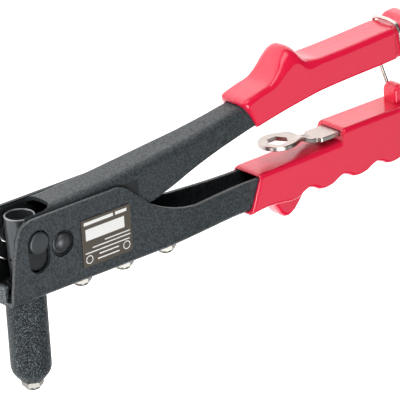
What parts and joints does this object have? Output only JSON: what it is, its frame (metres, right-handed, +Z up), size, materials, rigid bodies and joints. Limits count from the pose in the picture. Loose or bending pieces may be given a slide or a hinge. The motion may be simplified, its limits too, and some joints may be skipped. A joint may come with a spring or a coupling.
{
  "type": "hand riveter",
  "caption": "Hand riveter: sheet-steel frame and hinged lever with moulded grips, nose barrel with a jaw train, wire latch, spare nosepieces and a stored wrench.",
  "frame": {"origin": "bottom centre of the box of the tool lying on its side plate", "axes": "+X from the nose towards the handle ends, +Y up the rivet axis from the nose tip to the mandrel outlet, +Z up through the side plates when the tool lies on a bench"},
  "size_m": [0.2794, 0.1322, 0.0318],
  "materials": {
    "powder_coat": "fine-textured dark slate powder coat",
    "dark_steel": "satin dark steel",
    "nickel": "bright warm nickel plate",
    "red_vinyl": "glossy red moulded vinyl",
    "spring_steel": "ground hardened steel",
    "label_film": "satin printed film"
  },
  "bodies": {
    "frame": {"frame_channel": "powder_coat", "nose_barrel": "powder_coat", "barrel_collar": "dark_steel", "fitted_nosepiece": "nickel", "spare_nosepiece_1": "nickel", "spare_nosepiece_2": "nickel", "spare_nosepiece_3": "nickel", "pivot_pin": "dark_steel", "pivot_bush_near": "dark_steel", "pivot_bush_far": "dark_steel", "label_plate": "label_film", "lower_grip": "red_vinyl"},
    "lever": {"lever": "powder_coat", "upper_grip": "red_vinyl"},
    "jaw_carriage": {"exit_tube": "dark_steel", "tube_lock_nut": "dark_steel", "jaw_case": "dark_steel", "jaw_spring": "spring_steel"},
    "jaw_set": {"jaw_1": "spring_steel", "jaw_2": "spring_steel", "jaw_3": "spring_steel", "jaw_pusher": "dark_steel"},
    "bail": {"latch_bail": "nickel"},
    "wrench": {"nosepiece_wrench": "nickel"}
  },
  "joints": [
    {"name": "lever_pivot", "type": "hinge", "parent": "frame", "child": "lever", "pos_m": [-0.10776, 0.0113, 0.0159], "axis": [0, 0, 1], "range_deg": [0, 37]},
    {"name": "carriage_slide", "type": "slide", "parent": "frame", "child": "jaw_carriage", "axis": [0, -1, 0], "range_m": [0, 0.0098]},
    {"name": "jaw_slide", "type": "slide", "parent": "jaw_carriage", "child": "jaw_set", "axis": [0, 1, 0], "range_m": [0, 0.0015], "stiffness_N_per_m": 600, "deforming": ["jaw_spring"]},
    {"name": "latch_swing", "type": "hinge", "parent": "frame", "child": "bail", "pos_m": [0.12584, 0.0201, 0.0159], "axis": [0, 0, -1], "range_deg": [0, 120], "deforming": ["latch_bail"]},
    {"name": "wrench_slide", "type": "slide", "parent": "frame", "child": "wrench", "axis": [-1, 0, 0], "range_m": [0, 0.04]}
  ],
  "couplings": [
    {"joint": "carriage_slide", "follows": "lever_pivot", "m_per_rad": 0.015135}
  ]
}
